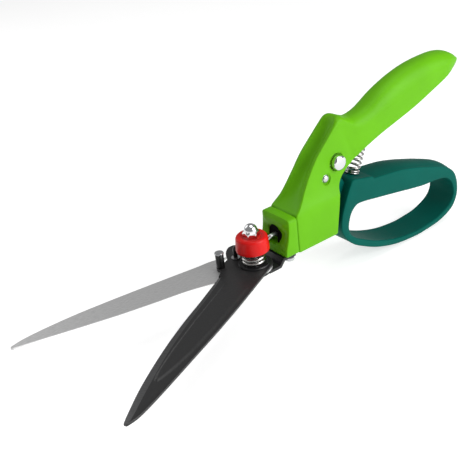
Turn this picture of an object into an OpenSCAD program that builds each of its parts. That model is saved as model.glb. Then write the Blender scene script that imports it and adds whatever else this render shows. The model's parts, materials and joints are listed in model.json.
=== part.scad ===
// Grass shears with a turning head, a fixed lower blade, a moving upper blade
// and a squeeze handle. Every sub-part is a module around the swivel axis,
// which lies along X; the whole tool is then lifted so that it stands on z = 0.

/* [Blades] */
// Length of each blade from the pivot bolt to its tip
blade_len = 165; // [150:1:172]
// Thickness of each blade
blade_t = 1.8; // [1.5:0.1:1.9]
// Angle of the open upper blade to the near side of the tool's axis
upper_angle = 27.3; // [26:0.1:28]
// Angle of the fixed lower blade to the far side of the tool's axis
lower_angle = 12.8; // [12:0.1:14]

/* [Head] */
// Width of the head and of the handle's front end
head_w = 27.8; // [27:0.1:29]
// Height of the head
head_h = 27.4; // [27:0.1:28]
// Diameter of the opening in the head's front face
mouth_d = 13.8; // [13.6:0.1:14]

/* [Pivot] */
// Distance of the pivot bolt in front of the head's rear face
bolt_reach = 27.9; // [27.5:0.1:28.2]
// Nominal diameter of the pivot bolt
bolt_d = 6; // [5.8:0.1:6]
// Radius of the red spring cup at its foot
cup_r = 11.3; // [11:0.1:11.4]

/* [Handles] */
// Half width of the hand loop
loop_hw = 12.2; // [11:0.1:12.6]
// Diameter of the handle pivot pin
pin_d = 6; // [5:0.5:6.5]
// Diameter of the lock button's head
button_d = 10.6; // [10:0.1:10.8]

/* [Hidden] */
$fn = 48;

// where the swivel axis passes and where the seam lies in the finished frame
axis_x = 9.55;
axis_y = 18.96;
axis_z = 51.2;

seam_gap = 0.3;
half_w = head_w / 2;
half_h = head_h / 2;

blade_top = -14;
upper_low = blade_top - blade_t;
lower_top = upper_low - 0.1;
lower_low = lower_top - blade_t;
plate_t = 2;
cup_low = -3.4;
cup_top = 7.2;
washer_t = 1;
bolt_x = -bolt_reach;

pivot = [32, 28];
lock = [43, 36.6];
squeeze = 19;
ball_x = pivot[0];
rod_r = 1.5;
rod_drop = -5.4;
// the hook's hole swings evenly to both sides of the bolt as the blade closes
hook_r = 14.65;
hook_y = hook_r * cos(squeeze);
hook_back = hook_r * sin(squeeze);
rod_y = (hook_r + hook_y) / 2;
stop_r = 22.5;
stop_turn = 34;
stop_d = 3;
tube_r = 6;
detent_r = 9.8;

// Catmull-Rom curve through the points of an open outline
function mix4(a, b, c, d, t) =
    0.5 * (2 * b + (c - a) * t + (2 * a - 5 * b + 4 * c - d) * t * t
           + (3 * b - a - 3 * c + d) * t * t * t);
function smooth(p, n = 4) =
    concat([for (i = [0 : len(p) - 2], k = [0 : n - 1])
                mix4(p[max(i - 1, 0)], p[i], p[i + 1], p[min(i + 2, len(p) - 1)], k / n)],
           [p[len(p) - 1]]);
function mirrored(p) = [for (i = [len(p) - 1 : -1 : 0]) [-p[i][0], p[i][1]]];
function turned(v, a) = [v[0] * cos(a) - v[1] * sin(a), v[0] * sin(a) + v[1] * cos(a)];

// moves a sub-part from the swivel axis to the finished frame
module placed() translate([axis_x, axis_y, axis_z]) children();
// raises an outline drawn in X and Z, centred on the tool's middle plane
module slab(hw) rotate([90, 0, 0]) linear_extrude(height = 2 * hw, center = true) children();
module along_x(x0, x1, r) translate([x0, 0, 0]) rotate([0, 90, 0]) cylinder(h = x1 - x0, r = r);
module across(x, z, y0, y1, r)
    translate([x, y0, z]) rotate([-90, 0, 0]) cylinder(h = y1 - y0, r = r);
module ring(z0, z1, r, hole) translate([0, 0, z0]) difference() {
    cylinder(h = z1 - z0, r = r);
    translate([0, 0, -1]) cylinder(h = z1 - z0 + 2, r = hole);
}
module at_bolt() translate([bolt_x, 0, 0]) children();
// a frame at the bolt with X along the blade and Y towards the tool's far side
module along_upper() at_bolt() rotate([0, 0, upper_angle]) mirror([1, 0, 0]) children();
module along_lower() at_bolt() rotate([0, 0, -lower_angle]) mirror([1, 0, 0]) children();

// ---------------------------------------------------------------- upper handle
scoop = [[seam_gap, 13.7], [5.3, 18], [11.5, 26], [17.6, 35], [25.3, 45], [36, 55],
         [44.8, 63], [47.5, 67.5]];
saddle = [[47.5, 67.5], [55, 64], [62.5, 61.4], [74, 64.1], [88.8, 72.5], [104.6, 78.3],
          [122.7, 82.2], [143.3, 83.1], [156, 81.6], [165, 77.4], [170.5, 73.5]];
under = [[167, 71.8], [150, 65.6], [124.9, 56], [96.4, 47.6], [68.7, 38.2], [54, 30.4],
         [44.6, 23.6], [40.3, 17.5], [38, 4], [35.6, -10.8]];
heel = [[33, -half_h], [seam_gap, -half_h]];
function body_outline() = concat(smooth(scoop), smooth(saddle), smooth(under), heel);
flank = [[half_w, -half_h], [half_w, 12], [12.6, 18], [10, 26], [8.8, 35], [8.3, 50], [8, 72]];
plan = [[48, -8.3], [75, -10], [130, -11], [152, -11], [163, -9], [170, -4.5]];
inner_top = [[17, -11], [17, 22], [22, 34], [30, 44], [42, 56], [52, 61], [62, 58.6],
             [74, 60.6], [88.8, 68.5], [104.6, 74.5], [122.7, 78.4], [143.3, 79.4],
             [156, 78], [163.5, 74]];
inner_low = [[158, 60], [60, 0], [60, -11]];
crown_cut = [[62, 70], [74, 71], [88.8, 80], [175, 90], [175, 76], [158, 77.6], [143, 76.6],
             [122, 73.4], [100, 68], [83, 62.6], [70, 59.6]];

module body_solid() {
    intersection() {
        slab(20) polygon(body_outline());
        union() {
            rotate([90, 0, 90]) linear_extrude(height = 56)
                polygon(concat([for (p = flank) p], mirrored(flank)));
            translate([0, 0, 25]) linear_extrude(height = 65)
                polygon(concat(smooth(plan), [for (i = [len(plan) * 4 - 4 : -1 : 0])
                                                 [smooth(plan)[i][0], -smooth(plan)[i][1]]]));
        }
    }
}
module cavity() {
    slab(6.2) polygon(concat(inner_top, inner_low));
    translate([17, -11.2, -11]) cube([43, 22.4, 25]);
    translate([17, -8, -11]) cube([43, 16, 35]);
    intersection() {
        slab(8) polygon(concat(inner_top, inner_low));
        translate([62, -8, 20]) cube([96, 16, 60]);
    }
}
module upper_handle() {
    color("limegreen") placed() difference() {
        body_solid();
        cavity();
        // shallow scoop for the thumb between the front rims
        slab(5.8) polygon(concat([[4, 12]], [for (p = smooth([for (i = [1 : 6]) scoop[i]]))
                                                p + [2, -1.4]], [[20, 64]]));
        for (s = [-1, 1]) translate([0, s * 13, 0]) slab(4.5) polygon(crown_cut);
        along_x(-1, 18, tube_r + 0.05);
        across(pivot[0], pivot[1], -20, 8.2, pin_d / 2);
        across(pivot[0], pivot[1], -20, -8.4, 4);
        across(lock[0], lock[1], -20, -5, button_d / 2 + 0.05);
        across(lock[0], lock[1], 0, 20, 3.05);
        // track for the head's detent ball, with a deeper dimple every quarter turn
        rotate([0, 90, 0]) rotate_extrude() translate([detent_r, 0.1]) circle(r = 1.6);
        for (a = [-90, 0, 90]) rotate([a, 0, 0]) translate([0.1, 0, -detent_r]) sphere(r = 2);
    }
}
module handle_pivot_pin() {
    color("silver") placed() {
        across(pivot[0], pivot[1], -9.4, 8.1, pin_d / 2);
        across(pivot[0], pivot[1], -9.4, -8.4, 3.9);
    }
}

// ---------------------------------------------------------------- lower handle
loop_top = [[52.5, 16], [56, 18.4], [73.9, 14.3], [75, 12.6], [87.1, 11.3], [102.6, 9.3],
            [116.6, 5.7], [130, 1.4], [142.5, -2.5], [153.4, -7.8], [160.5, -15],
            [164.2, -26], [163, -35], [157, -43.5], [142.8, -49.2], [115.8, -51.2],
            [95.1, -49], [75.1, -43], [58, -34], [48.5, -26], [42, -16]];
loop_hole = [[49.4, -21.7], [49.4, -13.8], [51.8, -6.2], [58.1, -1.4], [66, -1.6],
             [96.3, -7], [126.8, -12.1], [140, -12.6], [150.5, -15.2], [157.4, -21.5],
             [159.4, -30], [156.8, -38], [150, -43], [137.3, -46.6], [115.9, -47.1],
             [98, -45], [81, -40.2], [61.1, -30.2]];
nose = [[27, -7], [37, -7], [42, -10], [50, -10], [56, 0], [62, 12], [52.5, 16], [47, 25],
        [40, 33], [30, 36], [24.6, 31], [24, 26], [27, 18]];

module lock_lug() {
    far = turned(lock - pivot, -squeeze) + pivot;
    difference() {
        slab(2.4) hull() {
            translate(lock) circle(r = 6.6);
            translate(far) circle(r = 6.6);
            translate(pivot) circle(r = 7);
        }
        for (k = [0 : 10]) {
            p = turned(lock - pivot, -squeeze * k / 10) + pivot;
            across(p[0], p[1], -4, 4, 2.3);
        }
        for (p = [lock, far]) across(p[0], p[1], -4, 4, 3.3);
    }
}
module lower_handle() {
    color("darkslategray") placed() difference() {
        union() {
            translate([-1.5, 0, 1.45]) difference() {
                slab(loop_hw) polygon(concat([loop_top[0]], smooth([for (i = [1 : 20])
                                                                      loop_top[i]], 3)));
                slab(20) polygon(smooth(concat(loop_hole, [loop_hole[0]]), 3));
            }
            difference() {
                slab(5.6) polygon(nose);
                // room for the lock button beside the lug
                for (s = [-1, 1]) translate([0, s * 5, 0])
                    across(lock[0] + 1, lock[1] - 3, -2.5, 2.5, 11);
            }
            lock_lug();
            across(pivot[0], pivot[1], -5.6, 5.6, 7);
            // prongs on each side of the rod's ball
            translate([26.5, -7.6, -7]) cube([11, 15.2, 15]);
            // seat and peg of the return spring
            at_seat() cylinder(h = 2.2, r = 6.4);
            at_seat() cylinder(h = 5, r = 3.4);
        }
        across(pivot[0], pivot[1], -20, 20, pin_d / 2 + 0.05);
        // ring-shaped pocket round the peg for the return spring's foot
        at_seat() ring(2.2, 12, 6.2, 3.4);
        // upright pocket for the ball and a slot for the rod's neck
        translate([ball_x, 0, -12]) cylinder(h = 18, r = 4.75);
        translate([20, -2.3, -12]) cube([12, 4.6, 19]);
    }
}
// the return spring stands on the loop and leans back
module at_seat() translate([62.6, 0, 15.2]) rotate([0, 24, 0]) children();
module return_spring() {
    color("silver") placed() at_seat() ring(2.3, 27, 5, 3.8);
}
module lock_button() {
    color("silver") placed() {
        across(lock[0], lock[1], -12.7, -7.4, button_d / 2);
        across(lock[0], lock[1], -7.4, -3, 3);
        across(lock[0], lock[1], -3, 3.8, 2);
        across(lock[0], lock[1], 3.8, 8, 3);
    }
}

// ---------------------------------------------------------------- turning head
face_x = [-10.4, -7];
module head_block() {
    color("limegreen") placed() difference() {
        slab(half_w) polygon([[0, -half_h], [0, half_h], [face_x[1], half_h],
                              [face_x[1] - 1, 8], [face_x[0], -half_h + 3],
                              [face_x[0] + 2, -half_h]]);
        along_x(-20, 1, tube_r);
        along_x(-20, -3.2, mouth_d / 2);
        // low recess on the far side, where the pull rod's bow sweeps in
        translate([-20, -0.6, -7.7]) cube([16.8, 11.4, 4.8]);
        translate([-5.4, 0, -detent_r]) rotate([0, 90, 0]) cylinder(h = 6, r = 2.05);
        for (s = [-1, 1]) translate([-5, s * 9, -half_h - 1]) cylinder(h = 8, r = 1.7);
    }
}
module swivel_tube() {
    color("silver") placed() difference() {
        along_x(-3.4, 20.4, tube_r);
        along_x(-6, 21, 4.4);
        // groove for the retaining ring
        translate([18.6, 0, 0]) rotate([0, 90, 0]) ring(0, 1.1, 7, 5.4);
    }
}
module tube_ring() {
    color("gray") placed() translate([18.65, 0, 0]) rotate([0, 90, 0]) ring(0, 1, 8, 5.5);
}
module thrust_washer() {
    color("gray") placed() translate([17.1, 0, 0]) rotate([0, 90, 0]) ring(0, 1.4, 9, 6.05);
}
module detent_ball() {
    color("silver") placed() translate([-1.1, 0, -detent_r]) sphere(r = 2);
}
module detent_spring() {
    color("gray") placed() translate([-5.35, 0, -detent_r]) rotate([0, 90, 0])
        ring(0, 2.2, 1.9, 1.4);
}

// ---------------------------------------------------------------- fixed lower blade
module blade_bracket() {
    low = lower_low - plate_t;
    top_low = -half_h - plate_t;
    color("dimgray") placed() difference() {
        union() {
            slab(11) polygon([[-1, -half_h], [-11.4, -half_h], [-15, lower_low],
                              [-24, lower_low], [-24, low], [-14.2, low],
                              [-10.6, top_low], [-1, top_low]]);
            at_bolt() translate([0, 0, low]) linear_extrude(height = plate_t) hull() {
                circle(r = 11);
                rotate([0, 0, -lower_angle]) translate([-30, 8]) circle(r = 6);
            }
        }
        at_bolt() translate([0, 0, low - 1]) cylinder(h = 8, r = bolt_d / 2 + 0.1);
        along_lower() translate([13.5, -1, low - 1]) cylinder(h = 8, r = 2);
        for (s = [-1, 1]) translate([-5, s * 9, top_low - 1]) cylinder(h = 8, r = 1.75);
        // arc slot under the stop pin
        stop_slot(low - 1, 4);
    }
}
module bracket_screws() {
    color("silver") placed() for (s = [-1, 1]) translate([-5, s * 9, 0]) {
        translate([0, 0, -half_h - plate_t - 2]) cylinder(h = 2, r = 3.2);
        translate([0, 0, -half_h - plate_t - 0.5]) cylinder(h = 8.5, r = 1.65);
    }
}
module bracket_rivet() {
    color("silver") placed() along_lower() translate([13.5, -1, 0]) {
        translate([0, 0, lower_low - plate_t - 1]) cylinder(h = 1, r = 3.4);
        translate([0, 0, lower_low - plate_t]) cylinder(h = plate_t + blade_t, r = 1.95);
    }
}
// slot in which the stop pin swings while the upper blade opens and closes
module stop_slot(z, h) {
    at_bolt() translate([0, 0, z]) for (k = [0 : 12])
        rotate([0, 0, -stop_turn - 38 * k / 12]) translate([-stop_r, 0, 0])
            cylinder(h = h, r = stop_d / 2 + 0.5);
}
lower_spine = [[10, 21], [22, 22.6], [33, 21.2], [56, 19.1], [79, 16.9], [101, 14.6],
               [121, 12], [139, 8.6], [155, 4.6], [163, 1.4]];
lower_edge = [[163, -2.2], [146, -2.6], [121, -3.9], [96, -4.7], [72, -4.4], [49, -3.7],
              [28, -6], [12, -11]];
module lower_blade() {
    k = blade_len / 165;
    color("lightgray") placed() difference() {
        translate([0, 0, lower_low]) linear_extrude(height = blade_t) along_lower() {
            polygon(concat([for (p = smooth(lower_spine, 3)) [p[0] * k, p[1]]],
                           [[165 * k, 0], [165 * k, -1.4]],
                           [for (p = smooth(lower_edge, 2)) [p[0] * k, p[1]]],
                           [for (a = [300 : -20 : 120]) 12 * [cos(a), sin(a)]]));
        }
        at_bolt() translate([0, 0, lower_low - 1]) cylinder(h = 5, r = bolt_d / 2 + 0.1);
        along_lower() translate([13.5, -1, lower_low - 1]) cylinder(h = 5, r = 2);
        stop_slot(lower_low - 1, 4);
    }
}

// ---------------------------------------------------------------- moving upper blade
upper_edge = [[22, 16.2], [48, 15.1], [76, 14.5], [105, 12.3], [135, 8], [156, 3.4],
              [164, 1.2]];
upper_spine = [[163, -2.6], [156, -4.6], [138, -6.5], [104, -8.7], [73, -10.6],
               [46, -11.6], [20, -12], [2, -12]];
upper_lobe = [[-11.2, 6], [-10.2, 11], [-10.2, 13.2], [-12.5, 15.6], [-17.2, 17.8], [-19, 21],
              [-18, 24.4], [-13, 26.4], [-8.2, 25.3], [-4.6, 23.6], [-1.8, 21.4], [0.4, 20],
              [4.6, 20.2], [7.4, 21.6], [9.6, 22.9], [12.4, 22.6], [14.2, 20.6], [14.8, 18.4],
              [17, 17]];
module upper_blade() {
    k = blade_len / 165;
    color("dimgray") placed() difference() {
        translate([0, 0, upper_low]) linear_extrude(height = blade_t) along_upper()
            polygon(concat(smooth(upper_lobe, 3), [for (p = smooth(upper_edge, 3))
                                                      [p[0] * k, p[1]]],
                           [[165.5 * k, 0], [165 * k, -1.6]],
                           [for (p = smooth(upper_spine, 2)) [p[0] * k, p[1]]],
                           [for (a = [280 : -20 : 180]) 12.4 * [cos(a), sin(a)]]));
        at_bolt() translate([0, 0, upper_low - 1]) cylinder(h = 5, r = bolt_d / 2 + 0.05);
        // hole for the pull rod's hook
        translate([bolt_x - hook_back, hook_y, upper_low - 1]) cylinder(h = 5, r = 2.1);
        at_bolt() rotate([0, 0, -stop_turn]) translate([-stop_r, 0, upper_low - 1])
            cylinder(h = 5, r = stop_d / 2);
    }
}
module at_stop() placed() at_bolt() rotate([0, 0, -stop_turn]) translate([-stop_r, 0, 0])
    children();
module stop_pin() {
    color("silver") at_stop() {
        translate([0, 0, lower_low + 0.2]) cylinder(h = -3.2 - lower_low, r = stop_d / 2);
        translate([0, 0, -3.6]) cylinder(h = 0.9, r = 3.2);
    }
}
module stop_sleeve() {
    color("#202020") at_stop() ring(blade_top, -3.6, 2.85, stop_d / 2);
}

// ---------------------------------------------------------------- pivot stack
module pivot_bolt() {
    low = lower_low - plate_t;
    color("silver") placed() at_bolt() {
        translate([0, 0, low - 3.4]) cylinder(h = 3.4, r = 5.7, $fn = 6);
        translate([0, 0, low]) cylinder(h = 12 - low, r = bolt_d / 2);
    }
}
module blade_washer() {
    color("#303030") placed() at_bolt()
        ring(blade_top + 0.05, blade_top + 0.05 + washer_t, 10.7, bolt_d / 2 + 0.2);
}
module tension_spring() {
    color("silver") placed() at_bolt() ring(blade_top + 0.05 + washer_t, 4.6, 8, 6.7);
}
module spring_cup() {
    color("red") placed() at_bolt() difference() {
        rotate_extrude() polygon([[0, cup_low], [cup_r, cup_low], [cup_r - 0.1, -1],
                                  [cup_r - 0.6, 5.6], [cup_r - 1.1, 6.7], [cup_r - 2.1, cup_top],
                                  [0, cup_top]]);
        translate([0, 0, cup_low - 1]) cylinder(h = 4.6 - cup_low + 1, r = 8.6);
        cylinder(h = 20, r = bolt_d / 2 + 0.2);
        // the nut sits in a shallow recess
        translate([0, 0, cup_top - 0.8]) cylinder(h = 2, r = 6.6);
    }
}
module acorn_nut() {
    color("silver") placed() at_bolt() difference() {
        union() {
            translate([0, 0, cup_top - 0.8]) intersection() {
                cylinder(h = 4.4, r = 5.77, $fn = 6);
                cylinder(h = 4.4, r1 = 5.8, r2 = 5.3);
            }
            translate([0, 0, cup_top + 3.6]) cylinder(h = 0.6, r = 4.6);
            translate([0, 0, 11]) intersection() {
                sphere(r = 4.6);
                cylinder(h = 5, r = 5);
            }
        }
        translate([0, 0, cup_top - 2]) cylinder(h = 14 - cup_top, r = bolt_d / 2);
    }
}

// ---------------------------------------------------------------- pull rod
// the rod runs on the swivel axis, dips under the cup, bows round the tension
// spring and hooks down into the upper blade
hook_x = bolt_x - hook_back;
rod_path = [[ball_x - 1, 0, 0], [-4, 0, 0], [-11, 0, 0], [-12.6, 0.2, -0.4],
            [-13.8, 0.8, -1.5], [-14.6, 1.8, -3], [-15.3, 3, -4.6], [-16.2, 4.6, rod_drop],
            [-18.2, 7.4, rod_drop], [-21.2, 10.3, rod_drop], [-25, 12.6, rod_drop],
            [hook_x + 4, rod_y - 0.3, rod_drop], [hook_x + 1.6, rod_y, rod_drop - 0.2],
            [hook_x + 0.3, rod_y, rod_drop - 1.2], [hook_x, rod_y, rod_drop - 2.8],
            [hook_x, rod_y, upper_low + 0.2]];
function unit(v) = v / norm(v);
function heading(p, i) = unit(p[min(i + 1, len(p) - 1)] - p[max(i - 1, 0)]);
function ring_at(p, i, r, n) =
    let (t = heading(p, i), u = unit(cross(t, [0.5, -0.5, 0.7])), v = cross(t, u))
    [for (k = [0 : n - 1]) p[i] + r * (cos(360 * k / n) * u + sin(360 * k / n) * v)];
// a round wire of radius r along the points p
module wire(p, r, n = 12) {
    last = (len(p) - 1) * n;
    polyhedron(
        points = [for (i = [0 : len(p) - 1]) each ring_at(p, i, r, n)],
        faces = concat(
            [[for (k = [0 : n - 1]) k]],
            [for (i = [0 : len(p) - 2], k = [0 : n - 1])
                [i * n + k, (i + 1) * n + k, (i + 1) * n + (k + 1) % n, i * n + (k + 1) % n]],
            [[for (k = [n - 1 : -1 : 0]) last + k]]));
}
module pull_rod() {
    color("#404040") placed() wire(smooth(rod_path, 2), rod_r);
}
module rod_ball() {
    color("silver") placed() translate([ball_x, 0, 0]) difference() {
        sphere(r = 4.5);
        along_x(-6, -1, rod_r);
    }
}
module rod_clip() {
    color("gray") placed() translate([hook_x, rod_y, 0])
        ring(blade_top + 0.3, blade_top + 1, 3, rod_r);
}

upper_handle();
handle_pivot_pin();
lower_handle();
return_spring();
lock_button();
head_block();
swivel_tube();
tube_ring();
thrust_washer();
detent_ball();
detent_spring();
blade_bracket();
bracket_screws();
bracket_rivet();
lower_blade();
upper_blade();
stop_pin();
stop_sleeve();
pivot_bolt();
blade_washer();
tension_spring();
spring_cup();
acorn_nut();
pull_rod();
rod_ball();
rod_clip();
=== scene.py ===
"""Grass shears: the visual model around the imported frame.

Shapes are drawn in millimetres in the tool's own axes: X runs along the swivel axis from the
blades to the handles, with x = 0 at the seam between head and handle, Y runs to the far side
and Z up. metres() carries them into the frame.
"""

import json
import math

import bmesh
import bpy
import numpy as np
from mathutils import Matrix, Vector


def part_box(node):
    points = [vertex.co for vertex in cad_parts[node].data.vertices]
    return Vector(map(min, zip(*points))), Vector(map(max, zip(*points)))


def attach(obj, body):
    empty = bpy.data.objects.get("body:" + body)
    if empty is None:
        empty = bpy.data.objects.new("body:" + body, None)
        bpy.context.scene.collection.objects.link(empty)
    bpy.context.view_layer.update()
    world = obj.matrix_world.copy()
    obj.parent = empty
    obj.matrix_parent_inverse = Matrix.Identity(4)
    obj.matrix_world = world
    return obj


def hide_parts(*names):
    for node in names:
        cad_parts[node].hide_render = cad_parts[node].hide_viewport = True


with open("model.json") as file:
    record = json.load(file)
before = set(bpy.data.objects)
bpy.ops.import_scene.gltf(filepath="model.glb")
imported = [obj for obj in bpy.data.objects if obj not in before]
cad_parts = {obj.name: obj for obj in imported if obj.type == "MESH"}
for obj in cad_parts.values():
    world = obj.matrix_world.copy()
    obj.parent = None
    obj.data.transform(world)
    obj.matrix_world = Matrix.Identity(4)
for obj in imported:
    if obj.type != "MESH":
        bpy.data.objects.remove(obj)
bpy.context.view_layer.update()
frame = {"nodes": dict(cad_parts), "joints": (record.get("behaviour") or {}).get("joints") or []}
JOINTS = {j["name"]: j for j in frame["joints"]}
AXIS = np.array(JOINTS["head_turn"]["pos_m"])
PIVOT = (np.array(JOINTS["squeeze"]["pos_m"]) - AXIS) * 1000
BOLT_X = (JOINTS["blade_close"]["pos_m"][0] - AXIS[0]) * 1000


# ------------------------------------------------------------------ geometry helpers
def metres(points):
    """Points in the tool's millimetres, carried into the frame."""
    return AXIS + np.asarray(points, float) / 1000


def in_axes(corner):
    """A frame point in millimetres from the swivel axis."""
    return (np.array(corner) - AXIS) * 1000


def node_box(node):
    """The lowest and highest corner of a CAD node, in the tool's millimetres."""
    low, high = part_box(node)
    return in_axes(low), in_axes(high)


def spline(points, steps=6):
    """Catmull-Rom curve through rows of numbers."""
    p = np.asarray(points, float)
    rows = []
    for i in range(len(p) - 1):
        a, b, c, d = p[max(i - 1, 0)], p[i], p[i + 1], p[min(i + 2, len(p) - 1)]
        for k in range(steps):
            t = k / steps
            rows.append(0.5 * (2 * b + (c - a) * t + (2 * a - 5 * b + 4 * c - d) * t**2
                               + (3 * b - a - 3 * c + d) * t**3))
    rows.append(p[-1])
    return np.array(rows)


def closed_spline(points, steps=6):
    """The same curve round a loop of points."""
    p = np.asarray(points, float)
    around = np.vstack([p[-1], p, p[0], p[1]])
    return spline(around, steps)[steps:-steps - 1]


def loft(rings, closed=False):
    """Quads between rings of equal length, with a cap on each end of an open loft."""
    count = len(rings[0])
    points = np.vstack(rings)
    faces = []
    spans = len(rings) if closed else len(rings) - 1
    for i in range(spans):
        j = (i + 1) % len(rings)
        for k in range(count):
            m = (k + 1) % count
            faces.append((i * count + k, j * count + k, j * count + m, i * count + m))
    if not closed:
        faces.append(tuple(range(count)))
        faces.append(tuple(range(len(points) - 1, len(points) - 1 - count, -1)))
    return points, faces


def new_object(name, shape):
    """An object from points in the tool's millimetres and faces, with its seams welded."""
    points, faces = shape
    mesh = bpy.data.meshes.new(name)
    mesh.from_pydata(metres(points).tolist(), [], [tuple(int(v) for v in f) for f in faces])
    thing = bpy.data.objects.new(name, mesh)
    bpy.context.scene.collection.objects.link(thing)
    clean(mesh)
    return thing


def piece(name, shape, body, look, replaces=(), sharp=32, bevel=0):
    """A finished object that rides on a body; edges over `sharp` degrees stay crisp."""
    thing = new_object(name, shape)
    mesh = thing.data
    if bevel:
        add_bevel(thing, bevel)
    smooth_by_angle(mesh, sharp)
    mesh.materials.append(look)
    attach(thing, body)
    if replaces:
        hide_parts(*replaces)
    return thing


def clean(mesh):
    """Joins doubled points and turns every face outwards."""
    work = bmesh.new()
    work.from_mesh(mesh)
    bmesh.ops.remove_doubles(work, verts=work.verts, dist=1e-7)
    bmesh.ops.recalc_face_normals(work, faces=work.faces)
    work.to_mesh(mesh)
    work.free()


def smooth_by_angle(mesh, degrees):
    """Smooth shading, broken at edges that bend by more than this."""
    work = bmesh.new()
    work.from_mesh(mesh)
    for face in work.faces:
        face.smooth = True
    for edge in work.edges:
        edge.smooth = edge.calc_face_angle(0) < math.radians(degrees)
    work.to_mesh(mesh)
    work.free()


def apply_modifier(thing, modifier):
    with bpy.context.temp_override(object=thing, active_object=thing):
        bpy.ops.object.modifier_apply(modifier=modifier.name)


def add_bevel(thing, width):
    """Rounds the corner edges by a width in millimetres."""
    modifier = thing.modifiers.new("edge", "BEVEL")
    modifier.width = width / 1000
    modifier.segments = 3
    modifier.limit_method = "ANGLE"
    modifier.angle_limit = math.radians(38)
    apply_modifier(thing, modifier)


def cut(thing, cutters, sharp=32):
    """Takes each cutter shape out of a piece."""
    for shape in cutters:
        tool = new_object("cutter", shape)
        mesh = tool.data
        modifier = thing.modifiers.new("cut", "BOOLEAN")
        modifier.operation = "DIFFERENCE"
        modifier.solver = "EXACT"
        modifier.object = tool
        apply_modifier(thing, modifier)
        bpy.data.objects.remove(tool)
        bpy.data.meshes.remove(mesh)
    smooth_by_angle(thing.data, sharp)


def lathe(profile, centre=(0, 0, 0), axis="z", segments=64):
    """A turned shape from (radius, height) pairs, whose first and last radius may be 0."""
    a = np.linspace(0, 2 * math.pi, segments, endpoint=False)
    points, faces = loft([np.stack([r * np.cos(a), r * np.sin(a), np.full(segments, h)], 1)
                          for r, h in profile])
    if axis == "x":
        points = points[:, [2, 0, 1]]
    elif axis == "y":
        points = points[:, [1, 2, 0]]
    return points + np.array(centre, float), faces


def tube(path, radius, sides=14):
    """A round wire along a path, with frames carried along it so that it doesn't twist."""
    p = np.asarray(path, float)
    heading = np.gradient(p, axis=0)
    heading /= np.linalg.norm(heading, axis=1)[:, None]
    side = np.cross(heading[0], [0.31, 0.52, 0.79])
    radii = np.broadcast_to(radius, len(p))
    a = np.linspace(0, 2 * math.pi, sides, endpoint=False)
    rings = []
    for i in range(len(p)):
        side = side - heading[i] * side.dot(heading[i])
        side /= np.linalg.norm(side)
        other = np.cross(heading[i], side)
        circle = np.outer(np.cos(a), side) + np.outer(np.sin(a), other)
        rings.append(p[i] + radii[i] * circle)
    return loft(rings)


def slab(outline, low, high, plane="xz"):
    """An outline in X and Z (or X and Y) pushed out between two heights."""
    o = np.asarray(outline, float)
    rings = []
    for h in (low, high):
        level = np.full(len(o), h)
        columns = [o[:, 0], level, o[:, 1]] if plane == "xz" else [o[:, 0], o[:, 1], level]
        rings.append(np.stack(columns, 1))
    return loft(rings)


def polar(centre, radius, degrees):
    a = math.radians(degrees)
    return centre[0] + radius * math.cos(a), centre[1] + radius * math.sin(a)


def arc_points(centre, radius, start, end, count):
    return [polar(centre, radius, a) for a in np.linspace(start, end, count)]


def both_halves(half, start, run):
    """A ring across the tool from (depth along run, half width) pairs of its near half."""
    near = [(*(start + run * depth), y) for depth, y in half]
    return np.array([(x, -y, z) for x, z, y in near]
                    + [(x, y, z) for x, z, y in near[-2:0:-1]])


# ------------------------------------------------------------------ materials
class Look:
    """A small helper that wires one procedural material."""

    def __init__(self, name, colour, metallic=0.0, roughness=0.4, **fixed):
        self.material = bpy.data.materials.new(name)
        self.material.use_nodes = True
        self.nodes = self.material.node_tree.nodes
        self.links = self.material.node_tree.links
        self.shader = self.nodes["Principled BSDF"]
        self.shader.inputs["Base Color"].default_value = (*colour, 1)
        self.shader.inputs["Metallic"].default_value = metallic
        self.shader.inputs["Roughness"].default_value = roughness
        for socket, value in fixed.items():
            self.shader.inputs[socket.replace("_", " ")].default_value = value
        self.coords = self.nodes.new("ShaderNodeTexCoord").outputs["Object"]
        self.last_bump = None

    def placed(self, scale, turn):
        """Object coordinates, turned about Z and then stretched."""
        turned = self.nodes.new("ShaderNodeMapping")
        turned.inputs["Rotation"].default_value = (0, 0, math.radians(turn))
        self.links.new(self.coords, turned.inputs["Vector"])
        stretched = self.nodes.new("ShaderNodeMapping")
        stretched.inputs["Scale"].default_value = scale
        self.links.new(turned.outputs["Vector"], stretched.inputs["Vector"])
        return stretched.outputs["Vector"]

    def noise(self, scale, detail=3, vector=None):
        n = self.nodes.new("ShaderNodeTexNoise")
        n.inputs["Scale"].default_value = scale
        n.inputs["Detail"].default_value = detail
        self.links.new(vector or self.coords, n.inputs["Vector"])
        return n.outputs["Fac"]

    def ramp(self, value, stops):
        """Maps a value to the colours or grey levels of two stops."""
        r = self.nodes.new("ShaderNodeValToRGB")
        for stop, (at, colour) in zip(r.color_ramp.elements, stops):
            stop.position = at
            stop.color = (*colour, 1) if hasattr(colour, "__len__") else (colour,) * 3 + (1,)
        self.links.new(value, r.inputs["Fac"])
        return r.outputs["Color"]

    def colour(self, output):
        self.links.new(output, self.shader.inputs["Base Color"])

    def roughness(self, output):
        self.links.new(output, self.shader.inputs["Roughness"])

    def bump(self, value, strength, depth_mm):
        """Adds one more layer of relief over the earlier ones."""
        b = self.nodes.new("ShaderNodeBump")
        b.inputs["Strength"].default_value = strength
        b.inputs["Distance"].default_value = depth_mm / 1000
        self.links.new(value, b.inputs["Height"])
        if self.last_bump:
            self.links.new(self.last_bump, b.inputs["Normal"])
        self.last_bump = b.outputs["Normal"]
        self.links.new(self.last_bump, self.shader.inputs["Normal"])


def tint(colour, factor):
    """The same colour, lighter or darker."""
    return tuple(min(1.0, c * factor) for c in colour)


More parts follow.
